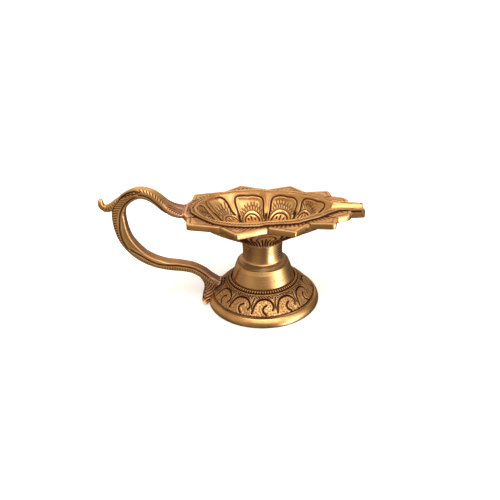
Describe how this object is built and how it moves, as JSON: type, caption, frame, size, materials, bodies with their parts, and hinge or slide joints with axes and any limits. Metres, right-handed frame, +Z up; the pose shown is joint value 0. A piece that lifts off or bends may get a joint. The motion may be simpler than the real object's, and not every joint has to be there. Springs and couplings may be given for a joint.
{
  "type": "diya oil lamp",
  "caption": "Brass lotus-petal oil lamp with a wick lip, a turned stem on a hollow engraved foot, and a looped finger handle.",
  "frame": {"origin": "centre of the foot's resting face, on the surface that the lamp stands on", "axes": "+Z up along the stem, +X towards the wick lip, -X towards the handle, +Y to the left seen from the handle"},
  "size_m": [0.1508, 0.0684, 0.0737],
  "materials": {
    "cast_brass": "antique cast brass, dark patina in the engraving",
    "turned_brass": "turned and polished brass",
    "braze": "coppery brazing filler",
    "steel": "dull zinc-plated steel"
  },
  "bodies": {
    "root": {"foot": "cast_brass", "stem_collar": "turned_brass", "stem_spool": "turned_brass", "lotus_bowl": "cast_brass", "handle": "cast_brass", "upper_braze": "braze", "lower_braze": "braze", "tie_stud": "steel", "tie_washer": "steel", "tie_nut": "steel"}
  },
  "joints": []
}
